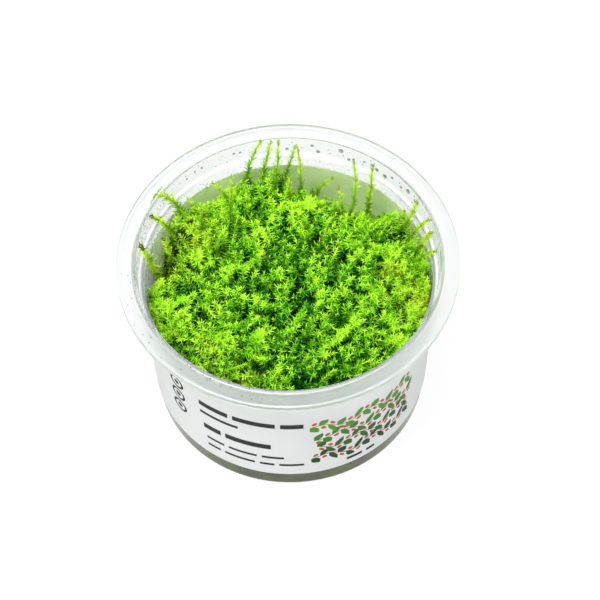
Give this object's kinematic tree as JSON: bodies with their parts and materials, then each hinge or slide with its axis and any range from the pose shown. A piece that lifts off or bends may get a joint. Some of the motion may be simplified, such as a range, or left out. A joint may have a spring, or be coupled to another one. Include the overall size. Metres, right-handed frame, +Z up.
{
  "type": "tissue culture feather moss cup",
  "caption": "Low round clear cup with a wide flat rim and a wrap-round label, holding a layer of culture gel under a dense cushion of green feather moss with taller shoots at its edge.",
  "frame": {"origin": "centre of the cup's flat base, where it stands on the surface", "axes": "+Z up through the mouth of the cup; -Y the front, with the middle of the label's printed side; +X to the right"},
  "size_m": [0.088, 0.088, 0.0567],
  "materials": {
    "cup": "clear, smooth, slightly misted inside",
    "label": "satin coated paper",
    "gel": "wet translucent gel",
    "moss": "soft moist leaves",
    "young_shoot": "soft thin young leaves"
  },
  "bodies": {
    "root": {"clear_cup": "cup", "paper_label": "label", "culture_gel": "gel", "moss_cushion": "moss", "back_shoot_1": "young_shoot", "back_shoot_2": "young_shoot", "back_shoot_3": "young_shoot", "back_shoot_4": "young_shoot", "back_shoot_5": "young_shoot", "back_shoot_6": "young_shoot", "back_shoot_7": "young_shoot", "back_shoot_8": "young_shoot", "back_shoot_9": "young_shoot", "back_shoot_10": "young_shoot", "left_shoot_1": "young_shoot", "left_shoot_2": "young_shoot", "left_shoot_3": "young_shoot", "left_shoot_4": "young_shoot", "right_shoot_1": "young_shoot", "right_shoot_2": "young_shoot", "right_shoot_3": "young_shoot", "right_shoot_4": "young_shoot", "right_shoot_5": "young_shoot", "right_shoot_6": "young_shoot", "right_shoot_7": "young_shoot", "right_shoot_8": "young_shoot", "right_shoot_9": "young_shoot"}
  },
  "joints": []
}
